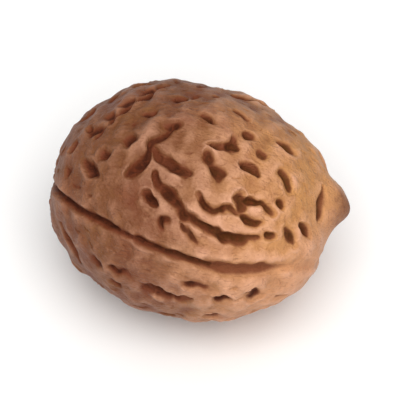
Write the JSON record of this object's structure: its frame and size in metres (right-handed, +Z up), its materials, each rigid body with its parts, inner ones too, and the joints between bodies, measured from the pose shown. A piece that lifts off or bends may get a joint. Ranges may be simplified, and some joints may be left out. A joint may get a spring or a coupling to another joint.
{
  "type": "peach pit",
  "caption": "Peach pit lying on its side: egg-shaped woody stone with a short pointed beak, a suture furrow along it, and wandering furrows and pits over its cheeks.",
  "frame": {"origin": "the middle of the stone's length and width, on the surface that it lies on", "axes": "+X along the stone from the stem end to the beak, +Z up; the front suture faces -Y and 22 degrees up, and the back suture faces +Y and 22 degrees down"},
  "size_m": [0.0258, 0.0214, 0.0203],
  "materials": {
    "woody_shell": "dry reddish-brown woody shell with a soft sheen, paler on the ridges and dark brown in the furrows and pits"
  },
  "bodies": {
    "root": {"peach_pit": "woody_shell"}
  },
  "joints": []
}
